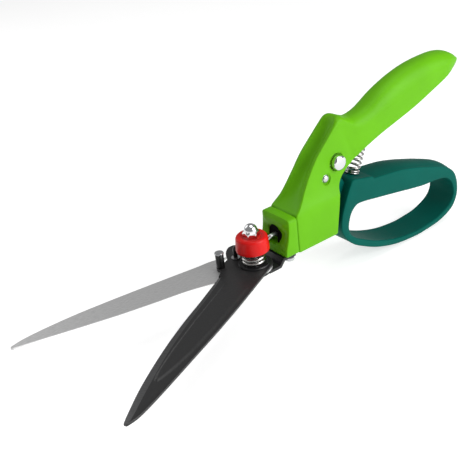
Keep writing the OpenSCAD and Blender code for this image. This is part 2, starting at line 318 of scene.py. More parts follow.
def moulded(name, colour, rough, grain, gloss):
    """Injection-moulded plastic: faint flow clouding, fine spark-eroded grain, soft gloss."""
    look = Look(name, colour, roughness=rough, Specular_IOR_Level=gloss, IOR=1.5)
    clouds = look.noise(38, 4)
    look.colour(look.ramp(clouds, [(0.3, tint(colour, 0.93)), (0.7, tint(colour, 1.05))]))
    fine = look.noise(2600, 2)
    look.roughness(look.ramp(fine, [(0.25, rough - 0.06), (0.75, rough + 0.08)]))
    look.bump(fine, grain, 0.02)
    look.bump(look.noise(120, 2), 0.15, 0.06)
    return look.material


def plated(name, colour, rough, haze_rough=0.05):
    """Bright plated or polished steel with faint handling haze."""
    look = Look(name, colour, metallic=1.0, roughness=rough)
    haze = look.noise(260, 4)
    look.roughness(look.ramp(haze, [(0.35, rough), (0.8, rough + haze_rough)]))
    look.colour(look.ramp(look.noise(90, 3), [(0.3, tint(colour, 0.94)), (0.7, colour)]))
    look.bump(look.noise(1400, 2), 0.06, 0.01)
    return look.material


def ground(name, colour, rough, turn, along, across, depth=0.03):
    """Ground steel: fine scratches that run one way over the blade."""
    look = Look(name, colour, metallic=1.0, roughness=rough)
    lines = look.noise(1, 5, look.placed((along, across, across), turn))
    look.colour(look.ramp(lines, [(0.3, tint(colour, 0.88)), (0.65, tint(colour, 1.1))]))
    look.roughness(look.ramp(lines, [(0.3, rough + 0.1), (0.7, rough - 0.05)]))
    look.bump(lines, 0.35, depth)
    look.bump(look.noise(40, 2), 0.1, 0.08)
    return look.material


def coated(name, colour, rough, gloss):
    """Black non-stick coating: fine speckle and a slight orange peel."""
    look = Look(name, colour, metallic=0.0, roughness=rough, Specular_IOR_Level=gloss)
    speckle = look.noise(1900, 3)
    look.colour(look.ramp(speckle, [(0.35, tint(colour, 0.8)), (0.7, tint(colour, 1.35))]))
    look.roughness(look.ramp(look.noise(700, 3), [(0.3, rough - 0.08), (0.7, rough + 0.08)]))
    look.bump(look.noise(900, 3), 0.25, 0.03)
    look.bump(look.noise(70, 2), 0.12, 0.1)
    return look.material


# Degrees that each open blade stands away from the swivel axis.
UPPER_ANGLE = 27.3
LOWER_ANGLE = 12.8

GREEN = moulded("green_plastic", (0.115, 0.4, 0.002), 0.45, 0.35, 0.14)
TEAL = moulded("teal_plastic", (0, 0.086, 0.066), 0.52, 0.35, 0.06)
RED = moulded("red_plastic", (0.6, 0.006, 0.005), 0.33, 0.15, 0.22)
CHROME = plated("chrome", (0.7, 0.71, 0.72), 0.07)
SPRING_STEEL = plated("spring_steel", (0.52, 0.51, 0.49), 0.2)
ZINC = plated("zinc_steel", (0.55, 0.56, 0.57), 0.3, 0.12)
BLACK_STEEL = coated("black_steel", (0.009, 0.009, 0.01), 0.34, 0.4)
COATING = coated("blade_coating", (0.016, 0.016, 0.0165), 0.4, 0.42)
COATED_BEVEL = ground("coated_bevel", (0.12, 0.12, 0.122), 0.36, -UPPER_ANGLE, 2600, 150)
BRIGHT = ground("bright_blade", (0.63, 0.63, 0.63), 0.5, LOWER_ANGLE, 260, 1700, 0.015)
BRIGHT_BEVEL = ground("bright_bevel", (0.8, 0.8, 0.8), 0.42, LOWER_ANGLE, 2400, 150)
RUBBER = moulded("rubber_black", (0.005, 0.005, 0.005), 0.3, 0.3, 0.5)
# Painted shade: a near-black material for the inside of the head's mouth and the swivel sleeve's
# bore. It stands for the shade in there, not for a real black part.
PAINTED_SHADE = moulded("painted_shade_bore", (0.002, 0.002, 0.002), 0.8, 0.3, 0.05)


# ------------------------------------------------------------------ upper handle
# Each station pairs a point on the front or top of the handle with one on its rear or
# underside: front x, front z, rear x, rear z, half width, crown height, scoop depth,
# front wall thickness.
SEAM = 0.3
BLOCK = [
    (SEAM + 0.9, -13.7, 32.6, -13.7, 13.0, 0, 0, 31.0),
    (SEAM + 0.25, -13.4, 34.2, -13.4, 13.6, 0, 0, 33.0),
    (SEAM, -12.8, 35.0, -12.8, 13.9, 0, 0, 34.0),
    (SEAM, -11.3, 35.5, -11.3, 13.9, 0, 0, 34.5),
    (SEAM, -11.0, 35.55, -11.0, 13.9, 0, 0, 17.0),
    (SEAM, -7.0, 36.2, -7.0, 13.9, 0, 0, 17.0),
    (SEAM, -2.0, 37.0, -2.0, 13.9, 0, 0, 17.0),
    (SEAM, 4.0, 38.0, 4.0, 13.9, 0, 0, 17.0),
    (SEAM, 9.0, 38.8, 9.0, 13.85, 0, 0, 17.0),
    (SEAM, 12.8, 39.4, 12.8, 13.6, 0, 0, 17.0),
]
ARM = [
    (1.0, 14.2, 39.8, 14.0, 13.4, 0, 0.2, 16.6),
    (3.4, 16.2, 40.2, 15.8, 12.9, 0, 0.9, 15.0),
    (7.6, 20.6, 41.2, 18.4, 11.4, 0, 1.8, 12.0),
    (12.2, 27.2, 42.8, 20.8, 10.0, 0, 2.4, 7.6),
    (17.6, 35.0, 45.2, 23.8, 9.0, 0, 2.8, 5.6),
    (25.3, 45.0, 48.6, 26.8, 8.5, 0, 3.0, 5.6),
    (35.4, 54.6, 52.6, 29.4, 8.2, 0, 2.8, 5.4),
    (42.6, 61.6, 56.2, 31.4, 8.1, 0.4, 1.6, 4.6),
    (46.4, 65.6, 58.6, 32.8, 8.0, 1.4, 0.4, 4.0),
    (50.2, 66.4, 60.6, 33.8, 8.2, 2.6, 0, 4.0),
    (55.6, 64.0, 63.4, 35.2, 8.6, 4.2, 0, 4.0),
    (62.5, 62.0, 67.0, 37.2, 9.2, 6.2, 0, 3.9),
    (74.0, 64.4, 74.0, 40.4, 9.9, 8.4, 0, 3.8),
    (88.8, 72.0, 86.0, 44.6, 10.4, 11.0, 0, 3.8),
    (104.6, 78.0, 100.0, 48.6, 10.8, 12.8, 0, 3.8),
    (122.7, 82.0, 118.0, 53.8, 11.0, 12.8, 0, 3.8),
    (143.3, 83.0, 138.0, 60.9, 11.0, 10.0, 0, 3.8),
    (156.0, 81.5, 150.0, 65.6, 11.0, 7.6, 0, 3.8),
    (163.6, 78.0, 158.0, 68.8, 9.2, 6.0, 0, 3.8),
    (167.4, 75.2, 163.4, 70.6, 7.0, 3.8, 0, 3.2),
    (169.4, 73.6, 166.6, 71.9, 4.6, 1.6, 0, 1.2),
    (169.9, 73.2, 168.2, 72.6, 1.8, 0.3, 0, 0.3),
]
SIDE_WALL = 2.6
RIM = 1.7


def handle_section(row):
    """One cross-section: cavity, lips, flat sides, rounded crown and hollow scoop."""
    fx, fz, rx, rz, w, crown, dish, roof = row
    front = np.array([fx, fz])
    run = np.array([rx, rz]) - front
    length = np.linalg.norm(run)
    run /= length
    corner = min(1.2 - 0.22 * dish, length / 6, w / 4)
    deep = crown + corner
    wide = min(w, corner + 1.9 * crown)
    inner_w = max(w - SIDE_WALL, 0.3 * w)
    roof = min(roof, length - 0.3)
    half = []
    for t in (0, 0.3, 0.55, 0.75, 0.9, 1):
        y = t * inner_w
        bow = crown * (1 - math.sqrt(1 - (0.97 * y / w) ** 2))
        half.append((min(roof + bow, length - 0.25), y))
    wall = half[-1][0]
    half += [(wall + (length - wall) * t, inner_w) for t in (0.2, 0.5, 0.8)]
    lip = min(0.7, (length - wall) / 3)
    half += [(length - lip * 0.3, inner_w), (length, inner_w + 0.3 * (w - inner_w)),
             (length, w - 0.3 * (w - inner_w)), (length - lip * 0.3, w - 0.05),
             (length - lip, w)]
    half += [(length - lip + (deep - length + lip) * t, w) for t in (0.12, 0.3, 0.5, 0.7, 0.88)]
    for a in np.linspace(0, 90, 13):
        half.append((deep * (1 - math.sin(math.radians(a))),
                     w - wide + wide * math.cos(math.radians(a)) ** 0.86))
    flat = w - wide
    reach = max(w - corner - RIM, 0.1)
    for t in (0.94, 0.88, 0.8, 0.7, 0.6, 0.5, 0.4, 0.3, 0.2, 0.1, 0):
        y = flat * t
        half.append((1.5 * dish * max(0.0, 1 - (y / reach) ** 2), y))
    return both_halves(half, front, run)


def upper_handle():
    """The grip and its front block, with the holes for button, pin and swivel tube."""
    shape = loft([handle_section(row) for row in np.vstack([BLOCK, spline(ARM)])])
    thing = piece("upper_handle_shell", shape, "handle", GREEN,
                  ["upper_handle"], sharp=28)
    lock_low, lock_high = node_box("lock_button")
    lock_x, lock_z = (lock_low + lock_high)[[0, 2]] / 2
    radius = (lock_high[0] - lock_low[0]) / 2
    recess = radius + 1.1
    bore_r = radius + 0.15
    button_hole = lathe([(0, -20), (radius + 4, -20), (recess + 0.5, -9.2), (recess, -8.4),
                         (recess, -7.2), (bore_r, -6.8), (bore_r, -5), (0, -5)],
                        (lock_x, 0, lock_z), "y")
    far_hole = lathe([(0, 0), (3.1, 0), (3.1, 8.2), (3.6, 9), (3.6, 20), (0, 20)],
                     (lock_x, 0, lock_z), "y", 40)
    pin_hole = lathe([(0, -20), (8, -20), (4.4, -9.9), (4.0, -9.3), (4.0, -8.4), (3, -8.4),
                      (3, 8.2), (0, 8.2)], (PIVOT[0], 0, PIVOT[2]), "y")
    bore = lathe([(0, -2), (6.1, -2), (6.1, 18), (0, 18)], (0, 0, 0), "x")
    cut(thing, [button_hole, far_hole, pin_hole, bore], 28)


# ------------------------------------------------------------------ lower handle
# Pairs of points round the hand loop: outer x, outer z, inner x, inner z, outer dish.
LOOP = [
    (56.0, 18.4, 59.5, -1.0, 0), (65.0, 16.4, 66.0, -1.6, 0.2), (73.4, 14.6, 73.6, -2.9, 0.2),
    (75.2, 12.8, 75.2, -3.2, -0.4), (87.1, 11.3, 86.0, -5.1, -1.0),
    (102.6, 9.1, 100.0, -7.6, -1.3), (116.6, 5.6, 113.0, -10.0, -1.6),
    (130.0, 1.4, 126.8, -12.1, -1.8), (142.5, -2.9, 139.0, -12.8, -2.0),
    (153.4, -7.9, 149.5, -15.0, -1.9), (160.4, -15.0, 156.0, -20.3, -1.2),
    (163.4, -25.0, 159.0, -28.2, -0.4), (162.6, -35.0, 157.9, -35.0, 0.2),
    (156.6, -43.5, 152.6, -40.6, 0.5), (143.0, -49.0, 140.6, -45.4, 0.6),
    (129.0, -50.7, 128.0, -46.9, 0.6), (115.8, -51.1, 115.9, -47.2, 0.6),
    (95.1, -48.9, 97.0, -44.8, 0.6), (75.1, -43.0, 78.0, -38.8, 0.6),
    (58.0, -34.4, 60.6, -30.0, 0.4), (51.6, -29.8, 54.4, -25.8, 0.2),
    (46.6, -24.6, 50.4, -21.2, 0), (43.4, -19.0, 49.2, -16.6, 0),
    (42.2, -14.0, 49.6, -12.4, 0), (43.4, -5.0, 51.2, -7.6, 0), (47.8, 6.0, 53.2, -4.4, 0),
    (52.4, 15.2, 56.2, -1.9, 0),
]
LOOP_HALF = 12.2
LOOP_SHIFT = np.array([-1.5, 1.45])


def loop_section(row):
    """One section of the hand loop; a negative dish is a crown."""
    ox, oz, ix, iz, dish = row
    outer = np.array([ox, oz]) + LOOP_SHIFT
    run = np.array([ix, iz]) + LOOP_SHIFT - outer
    length = np.linalg.norm(run)
    run /= length
    w = LOOP_HALF
    r = min(0.9, length / 4)
    flat = w - 1.9
    power = 6 if dish > 0 else 2
    half = [(dish * max(0.0, 1 - (y / flat) ** power), y) for y in np.linspace(0, flat, 10)]
    for a in (0, 30, 60, 90):
        half.append((r * (1 - math.cos(math.radians(a))), w - r + r * math.sin(math.radians(a))))
    half += [(r + (length - 2 * r) * t, w + 0.15 * math.sin(math.pi * t))
             for t in (0.25, 0.5, 0.75)]
    for a in (0, 30, 60, 90):
        half.append((length - r * (1 - math.sin(math.radians(a))),
                     w - r + r * math.cos(math.radians(a))))
    half += [(length - max(0.5 * dish, 0) * (1 - (y / (w - 1.7)) ** 6), y)
             for y in np.linspace(w - 1.7, 0, 8)]
    return both_halves(half, outer, run)


NOSE = [(27, -7), (37, -7), (42, -10), (49.5, -10), (56, 0), (60, 10), (52.5, 15.5), (47, 25),
        (40, 33), (30, 36), (24.8, 31), (24.2, 26), (27, 18)]


LUG_R = 6.6
SLOT_HALF = 2.3


def lower_handle():
    """The hand loop, its nose inside the upper handle, the rod's prongs and the coil's seat."""
    piece("hand_loop", loft([loop_section(row) for row in closed_spline(LOOP)], True), "trigger",
          TEAL, ["lower_handle"], sharp=30)
    lock_low, lock_high = node_box("lock_button")
    lock = (lock_low + lock_high)[[0, 2]] / 2
    pivot = PIVOT[[0, 2]]
    web = piece("handle_nose", slab(NOSE, -5.6, 5.6), "trigger", TEAL,
                bevel=0.8)
    pin_hole = lathe([(0, -20), (3.05, -20), (3.05, 20), (0, 20)], (pivot[0], 0, pivot[1]), "y")
    button_room = []
    for low, high in ((-9, -2.5), (2.5, 9)):
        button_room.append(lathe([(0, low), (11, low), (11, high), (0, high)],
                                 (lock[0] + 1, 0, lock[1] - 3), "y"))
    socket = lathe([(0, -12), (4.75, -12), (4.75, 6), (0, 6)], (PIVOT[0], 0, 0), "z")
    neck = slab([(20, -12), (PIVOT[0], -12), (PIVOT[0], 7), (20, 7)], -2.3, 2.3)
    cut(web, [pin_hole, *button_room, socket, neck])
    lock_lug(pivot, lock, pin_hole)
    for side, low, high in (("near", -7.6, -2.4), ("far", 2.4, 7.6)):
        prong = slab([(26.5, -7), (37.5, -7), (37.5, 8), (26.5, 8)], low, high)
        cut(piece(f"ball_prong_{side}", prong, "trigger", TEAL, bevel=0.6),
            [socket])
    points, faces = lathe([(0, -3), (6.6, -3), (6.6, 1.6), (6.2, 2.1), (3.4, 2.1), (3.4, 4.6),
                           (2.8, 5.2), (0, 5.2)], segments=48)
    piece("spring_seat", (spring_frame(points), faces), "trigger", TEAL)


def lock_lug(pivot, lock, pin_hole):
    """The lug whose curved slot runs past the button, with a round hole at each end."""
    reach = np.linalg.norm(lock - pivot)
    start = math.degrees(math.atan2(lock[1] - pivot[1], lock[0] - pivot[0]))
    end = start - JOINTS["squeeze"]["range_deg"][1]
    far = np.array(polar(pivot, reach, end))
    outline = (arc_points(pivot, reach + LUG_R, end, start, 14)
               + arc_points(lock, LUG_R, start + 20, start + 140, 8)
               + arc_points(pivot, 7, start + 100, start + 250, 12)
               + arc_points(far, LUG_R, end - 120, end - 20, 8))
    lug = piece("lock_lug", slab(outline, -2.4, 2.4), "trigger", TEAL, bevel=0.4)
    slot = (arc_points(pivot, reach + SLOT_HALF, end, start, 16)
            + arc_points(pivot, reach - SLOT_HALF, start, end, 16))
    ends = [lathe([(0, -4.1), (3.3, -4.1), (3.3, 4.1), (0, 4.1)], (c[0], 0, c[1]), "y", 40)
            for c in (lock, far)]
    cut(lug, [slab(slot, -4, 4), *ends, pin_hole])


# ------------------------------------------------------------------ springs
RETURN_FOOT = np.array([62.6, 0, 15.2])
RETURN_LEAN = 24.0


def spring_frame(points):
    """Carries points from the return spring's own axis to where it leans."""
    a = math.radians(RETURN_LEAN)
    p = np.asarray(points, float)
    x = p[:, 0] * math.cos(a) + p[:, 2] * math.sin(a)
    z = -p[:, 0] * math.sin(a) + p[:, 2] * math.cos(a)
    return np.stack([x, p[:, 1], z], 1) + RETURN_FOOT


def coil(radius, heights, start, per_turn=28):
    """A helix whose height after each turn is listed; start is its first angle in radians."""
    turns = len(heights) - 1
    t = np.linspace(0, turns, turns * per_turn + 1)
    z = np.interp(t, range(turns + 1), heights)
    a = 2 * math.pi * t + start
    return np.stack([radius * np.cos(a), radius * np.sin(a), z], 1)


def springs():
    """The return spring between the handles and the stiff coil under the cup."""
    wire = 0.65
    foot, top = 2.3, 27 - wire
    levels = [foot + wire, foot + 3.1 * wire, foot + 5.4 * wire]
    free = np.linspace(levels[-1], top - 2.1 * wire, 7)[1:]
    points, faces = tube(coil(5 - wire, [*levels, *free, top], 0.6), wire, 12)
    piece("return_coil", (spring_frame(points), faces), "trigger",
          SPRING_STEEL, ["return_spring"], sharp=60)
    low, high = node_box("tension_spring")
    wire = 1.1
    radius = (high[0] - low[0]) / 2 - wire
    levels = [low[2] + wire, low[2] + 3.0 * wire]
    free = np.linspace(levels[-1], high[2] - 3.0 * wire, 4)[1:]
    points, faces = tube(coil(radius, [*levels, *free, high[2] - wire], 2.2), wire, 14)
    centre = np.array([(low[0] + high[0]) / 2, (low[1] + high[1]) / 2, 0])
    piece("tension_coil", (points + centre, faces), "head", SPRING_STEEL,
          ["tension_spring"], sharp=60)


# ------------------------------------------------------------------ head
def rounded_section(hw, hh, radius, arch):
    """A rounded rectangle at x = 0, with a slightly arched top."""
    centres = [(hw - radius, hh - radius), (-hw + radius, hh - radius),
               (-hw + radius, -hh + radius), (hw - radius, -hh + radius)]
    points = []
    for i, centre in enumerate(centres):
        start, end = 90 * i, 90 * (i + 1)
        points += arc_points(centre, radius, start, end, 6)
        goal = polar(centres[(i + 1) % 4], radius, end)
        points += list(np.linspace(points[-1], goal, 8)[1:-1])
    y, z = np.array(points).T
    z = z + arch * (1 - (y / hw) ** 2) * (z > 0)
    return np.stack([np.zeros(len(y)), y, z], 1)


# Height on the head's front face, and how far that face stands ahead of the seam.
HEAD_REACH = [(-13.7, 10.2), (-11, 11.0), (-7, 10.3), (-2, 8.7), (3, 7.7), (8, 7.2),
              (13.7, 7.0)]
# From the seam to inside the front face: share of the face's reach, inset from the sides,
# how far the low part comes forward, how far the brow goes back.
HEAD_RINGS = [
    (0, 0.45, 0, 0), (0.02, 0.12, 0, 0), (0.06, 0, 0, 0), (0.35, 0, 0, 0), (0.65, 0, 0, 0),
    (0.9, 0, 0, 0), (0.97, 0.14, 0, 0), (1, 0.6, 0, 0.15), (1, 1.4, 0, 0.5),
    (1, 2.3, 0.12, 1.1), (1, 3.2, 0.35, 1.5), (1, 4.4, 0.7, 1.5), (1, 6.2, 1.0, 1.2),
]


def head():
    """The turning head: dished front face with a sloping brow, round mouth, sleeve inside, and
    painted shade in the mouth and in the sleeve's bore.
    """
    high = node_box("head_block")[1]
    hw, hh = high[1], high[2]
    arch = 0.3
    heights, reaches = np.array(HEAD_REACH).T
    rings = []
    for share, inset, forward, brow in HEAD_RINGS:
        scale = (hw - inset) / hw
        corner = max(2.0 - inset, 0.9) + inset * 0.4
        ring = rounded_section(hw - inset, hh - arch - inset, corner, arch * scale)
        ring[:, 0] = -np.interp(ring[:, 2] / scale, heights, reaches) * share
        top = np.clip((ring[:, 2] / scale - 4) / 8, 0, 1)
        ring[:, 0] += forward * (1 - top) - brow * top
        rings.append(ring)
    block = piece("head_shell", loft(rings), "head", GREEN, ["head_block"],
                  sharp=30)
    mouth = lathe([(0, -20), (6.9, -20), (6.9, -3.2), (6, -3.2), (6, 1), (0, 1)], axis="x")
    notch = slab([(-20, -8), (-3.2, -8), (-3.2, -2.5), (-20, -2.5)], -0.8, 11.4)
    cut(block, [mouth, notch], 30)
    tube_low, tube_high = node_box("swivel_tube")
    x0, x1 = tube_low[0], tube_high[0]
    piece("swivel_sleeve", lathe([(4.4, x0 + 1.8), (5.3, x0 + 0.5), (5.7, x0 + 0.5),
                                  (6, x0 + 0.9), (6, x1 - 2.0), (5.4, x1 - 1.8),
                                  (5.4, x1 - 0.7), (6, x1 - 0.6), (6, x1), (4.4, x1),
                                  (4.4, x0 + 1.8)], axis="x"),
          "head", ZINC, ["swivel_tube"])
    # Painted shade: thin near-black linings inside the mouth and the sleeve's bore, and a black
    # ring at the bore's far end, stand for the shade inside them.
    mouth_shade = piece("mouth_painted_shade", lathe([(6.4, -7.4), (6.78, -7.6), (6.8, -3.5), (6.35, -3.5),
                                        (6.4, -7.4)], axis="x"), "head", PAINTED_SHADE)
    cut(mouth_shade, [notch])
    piece("bore_painted_shade", lathe([(4.0, -0.8), (4.35, -1.0), (4.35, 19.8), (4.0, 19.8),
                                 (4.0, -0.8)], axis="x"), "head", PAINTED_SHADE)
    piece("bore_end_painted_shade", lathe([(1.9, 19.2), (3.98, 19.2), (3.98, 19.8), (1.9, 19.8),
                                (1.9, 19.2)], axis="x"), "head", PAINTED_SHADE)


def pivot_stack():
    """What stands on the pivot bolt: cup, coil seat and nut, with the bolt's head below."""
    c = (BOLT_X, 0, 0)
    low, high = node_box("spring_cup")
    r = (high[0] - low[0]) / 2
    z0, z1 = low[2], high[2]
    outer = [(r - 1.9, z0), (r - 0.5, z0), (r - 0.12, z0 + 0.25), (r, z0 + 0.7),
             (r - 0.1, z0 + 2.6), (r - 0.5, z1 - 2.4), (r - 0.62, z1 - 1.5),
             (r - 0.95, z1 - 0.7), (r - 1.5, z1 - 0.2), (r - 2.2, z1), (7.4, z1 - 0.05),
             (7.0, z1 - 0.2), (6.7, z1 - 0.7), (3.1, z1 - 0.8), (3.1, z1 - 2.6),
             (8.6, z1 - 2.6), (8.6, z0 + 0.6), (9.0, z0), (r - 1.9, z0)]
    piece("red_cup", lathe(outer, c, segments=96), "head", RED, ["spring_cup"],
          sharp=50)
    low, high = node_box("blade_washer")
    r, z0, z1 = (high[0] - low[0]) / 2, low[2], high[2]
    piece("spring_seat_ring", lathe([(3.3, z0), (r, z0), (r, z1 - 0.45), (r - 0.35, z1),
                                     (r - 1.3, z1), (r - 1.8, z1 - 0.35), (3.3, z1 - 0.35),
                                     (3.3, z0)], c, segments=80),
          "head", BLACK_STEEL, ["blade_washer"])
    acorn(c)
    low, high = node_box("pivot_bolt")
    z0 = low[2]
    hexagon = [polar((BOLT_X, 0), 5.77, a) for a in range(0, 360, 60)]
    bolt = slab(hexagon, z0, z0 + 3.4, "xy")
    shank = lathe([(0, z0 + 3.4), (3, z0 + 3.4), (3, high[2] - 0.6), (2.4, high[2]),
                   (0, high[2])], c, segments=48)
    piece("bolt_head", bolt, "head", ZINC, ["pivot_bolt"], bevel=0.5)
    piece("bolt_shank", shank, "head", ZINC)


def acorn(centre):
    """Domed nut: a chamfered hexagon that runs into a dome."""
    low, high = node_box("acorn_nut")
    z0, z1 = low[2], high[2]
    half_flats = 5.0
    dome_r = 4.6
    sides = 96
    a = np.linspace(0, 2 * math.pi, sides, endpoint=False)
    hexagon = half_flats / np.cos((a + math.pi / 6) % (math.pi / 3) - math.pi / 6)
    hex_top = z0 + 4.3
    profile = [(np.minimum(hexagon, cone), z0 + up)
               for up, cone in ((0, 5.3), (0.45, 5.8), (3.3, 5.8), (3.8, 5.45), (4.15, 5.05))]
    profile += [(4.78, hex_top), (dome_r, hex_top + 0.12)]
    dome = z1 - hex_top - 0.35
    for degrees in (0, 12, 24, 36, 48, 60, 70, 79, 86):
        rise = math.radians(degrees)
        profile.append((dome_r * math.cos(rise), hex_top + 0.35 + dome * math.sin(rise)))
    profile.append((0.02, z1))
    points, faces = loft([np.stack([r * np.cos(a), r * np.sin(a), np.full(sides, z)], 1)
                          for r, z in profile])
    piece("dome_nut", (points + np.array(centre), faces), "head", CHROME,
          ["acorn_nut"], sharp=24)


# ------------------------------------------------------------------ blades
def blade_points(s, t, z, angle):
    """Points s along a blade, t across it towards the far side, and z up."""
    d = math.radians(angle)
    return np.stack([BOLT_X - s * math.cos(d) - t * math.sin(d),
                     t * math.cos(d) - s * math.sin(d), z], 1)


# Pairs of distances from the pivot bolt, along the blade and across it. A bevel table gives
# the width of the ground strip instead.
UPPER_EDGE = [(-18.8, 21.8), (-18, 24.2), (-15.6, 25.8), (-13, 26.3), (-8.2, 25.2),
              (-4.6, 23.5), (-1.8, 21.4), (0.4, 20), (4.6, 20.1), (7.4, 21.5), (9.6, 22.7),
              (12.2, 22.4), (14, 20.6), (15, 18.2), (17, 16.9), (21, 16.3), (24, 16.1),
              (48, 15.1), (76, 14.4), (105, 12.2), (135, 8.0), (156, 3.4), (163.4, 1.4),
              (165, 0.3)]
UPPER_SPINE = [(-18.8, 20.4), (-18, 19), (-15.6, 17), (-12.6, 15.4), (-12, 3), (-11.4, -4.6),
               (-8, -9.4), (-3, -11.9), (4, -12.2),
               (20, -12.0), (46, -11.6), (73, -10.6), (104, -8.7), (138, -6.5), (156, -4.6),
               (163.2, -2.4), (165, -1.4)]
UPPER_BEVEL = [(-18.8, 0), (19.6, 0), (20.4, 2.3), (56, 3.2), (84, 3.8), (111, 4.2),
               (138, 4.6), (160, 3.6), (165, 1.2)]
LOWER_SPINE = [(-12, 0.5), (-10, 8), (-2, 16), (8, 20.6), (22, 22.2), (33, 21.0),
               (56, 19.0), (79, 16.9), (101, 14.6), (121, 12.0), (139, 8.6), (155, 4.6),
               (163, 1.2), (165, 0.0)]
LOWER_EDGE = [(-12, -0.5), (-9, -8), (0, -12), (12, -11), (28, -6), (49, -3.8), (72, -4.4),
              (96, -4.7), (121, -3.9), (146, -2.7), (163, -2.0), (165, -1.2)]
LOWER_BEVEL = [(-12, 0), (24, 0), (30, 1.6), (60, 2.4), (120, 2.6), (150, 2.0), (165, 0.6)]
FACE_STEPS = 48
RING_POINTS = FACE_STEPS + 10


def curve_at(table, s):
    """The value at s on the smooth curve through a table."""
    dense = spline(table, 8)
    return np.interp(s, dense[:, 0], dense[:, 1])


def stations(start, heel, middle):
    """Distances along a blade: close together at the heel and at the tip."""
    return np.unique(np.concatenate([np.linspace(start, 24, heel), np.linspace(24, 160, middle),
                                     np.linspace(160, 165, 14)]))


def blade_shape(along, cutting, spine, bevel, low, high, angle, below=False, ridge=None):
    """Rings across the blade, from the cutting edge over one face and back along the other.

    The ground bevel and the ridge lie on the top face, or on the underside when below."""
    edge_t = 0.35
    depth = high - low
    rings = []
    for s in along:
        c, b, e = curve_at(cutting, s), curve_at(spine, s), curve_at(bevel, s)
        sign = 1 if c > b else -1
        width = abs(c - b)
        e = min(max(e, 0.0), width * 0.7)
        drop = (depth - edge_t) * min(1.0, e / 2.0)
        ground_to = max(e, 0.08)
        crest = c - sign * ground_to
        rows = [(c, depth), (c - sign * 0.02, drop),
                (crest, 0.02 - (ridge(s, crest) if ridge else 0))]
        start = ground_to + 0.25
        for q in np.linspace(start, max(width - 0.5, start + 0.01), FACE_STEPS):
            t = c - sign * q
            rows.append((t, -ridge(s, t) if ridge else 0))
        rows += [(b + sign * 0.12, 0.12), (b, 0.35), (b, depth - 0.25), (b + sign * 0.2, depth)]
        rows += [(b + (c - b) * q, depth) for q in (0.3, 0.6, 0.85)]
        t, sunk = np.array(rows).T
        z = low + sunk if below else high - sunk
        rings.append(blade_points(np.full(len(t), s), t, z, angle))
    return loft(rings)


def upper_ridge(s, t):
    """A long rib, rounded at its far end, stands a little proud of the thinner blade."""
    along = [22, 72, 100, 114, 124, 128, 129]
    near = np.interp(s, along, [-8.2, -7.0, -4.8, -2.6, -0.4, 1.0, 1.7])
    distant = np.interp(s, along, [8.4, 7.8, 6.6, 5.4, 4.0, 2.8, 1.9])
    fade = np.clip((s - 24) / 16, 0, 1)
    inside = 1 / (1 + math.exp(min((near - t) * 2.6, 50)))
    inside /= 1 + math.exp(min((t - distant) * 3.2, 50))
    return -0.85 * fade * (1 - inside * np.clip((129.5 - s) / 2, 0, 1))


def through_hole(radius, centre, segments):
    """A cutter that goes through both blades."""
    return lathe([(0, -20), (radius, -20), (radius, -10), (0, -10)], (centre[0], centre[1], 0),
                 segments=segments)


def blades():
    low, high = node_box("upper_blade")
    along = stations(-18.8, 96, 110)
    shape = blade_shape(along, UPPER_EDGE, UPPER_SPINE, UPPER_BEVEL, low[2], high[2],
                        UPPER_ANGLE, ridge=upper_ridge)
    upper = piece("coated_blade", shape, "cutter", COATING, ["upper_blade"],
                  sharp=14)
    mark_bevel(upper, along, UPPER_BEVEL, COATED_BEVEL)
    clip_low, clip_high = node_box("rod_clip")
    bolt = (BOLT_X, 0)
    cut(upper, [through_hole(3.05, bolt, 40),
                through_hole(2.4, (clip_low + clip_high) / 2, 32)], 14)
    low, high = node_box("lower_blade")
    along = stations(-12, 70, 90)
    shape = blade_shape(along, LOWER_EDGE, LOWER_SPINE, LOWER_BEVEL, low[2], high[2],
                        -LOWER_ANGLE, below=True)
    lower = piece("ground_blade", shape, "head", BRIGHT, ["lower_blade"],
                  sharp=14)
    mark_bevel(lower, along, LOWER_BEVEL, BRIGHT_BEVEL)
    cut(lower, [through_hole(3.1, bolt, 40), stop_slot(-25, -10)], 14)


def stop_slot(low, high):
    """The arc in which the stop pin swings."""
    pin_low, pin_high = node_box("stop_pin")
    pin = (pin_low + pin_high)[:2] / 2 - (BOLT_X, 0)
    radius = np.linalg.norm(pin)
    start = math.degrees(math.atan2(pin[1], pin[0]))
    end = start - JOINTS["blade_close"]["range_deg"][1]
    bolt = (BOLT_X, 0)
    half = 2.0
    outline = arc_points(bolt, radius + half, start, end, 20)
    outline += arc_points(polar(bolt, radius, end), half, end, end - 180, 8)[1:-1]
    outline += arc_points(bolt, radius - half, end, start, 20)
    outline += arc_points(polar(bolt, radius, start), half, start + 180, start, 8)[1:-1]
    return slab(outline, low, high, "xy")


def mark_bevel(thing, along, bevel, look):
    """Gives the ground strip behind the cutting edge its own material."""
    thing.data.materials.append(look)
    for polygon in thing.data.polygons:
        local = [v % RING_POINTS for v in polygon.vertices]
        if len(local) == 4 and set(local) <= {0, 1, 2} and 1 in local:
            ring = min(polygon.vertices) // RING_POINTS
            if ring < len(along) and curve_at(bevel, along[ring]) > 0.8:
                polygon.material_index = 1


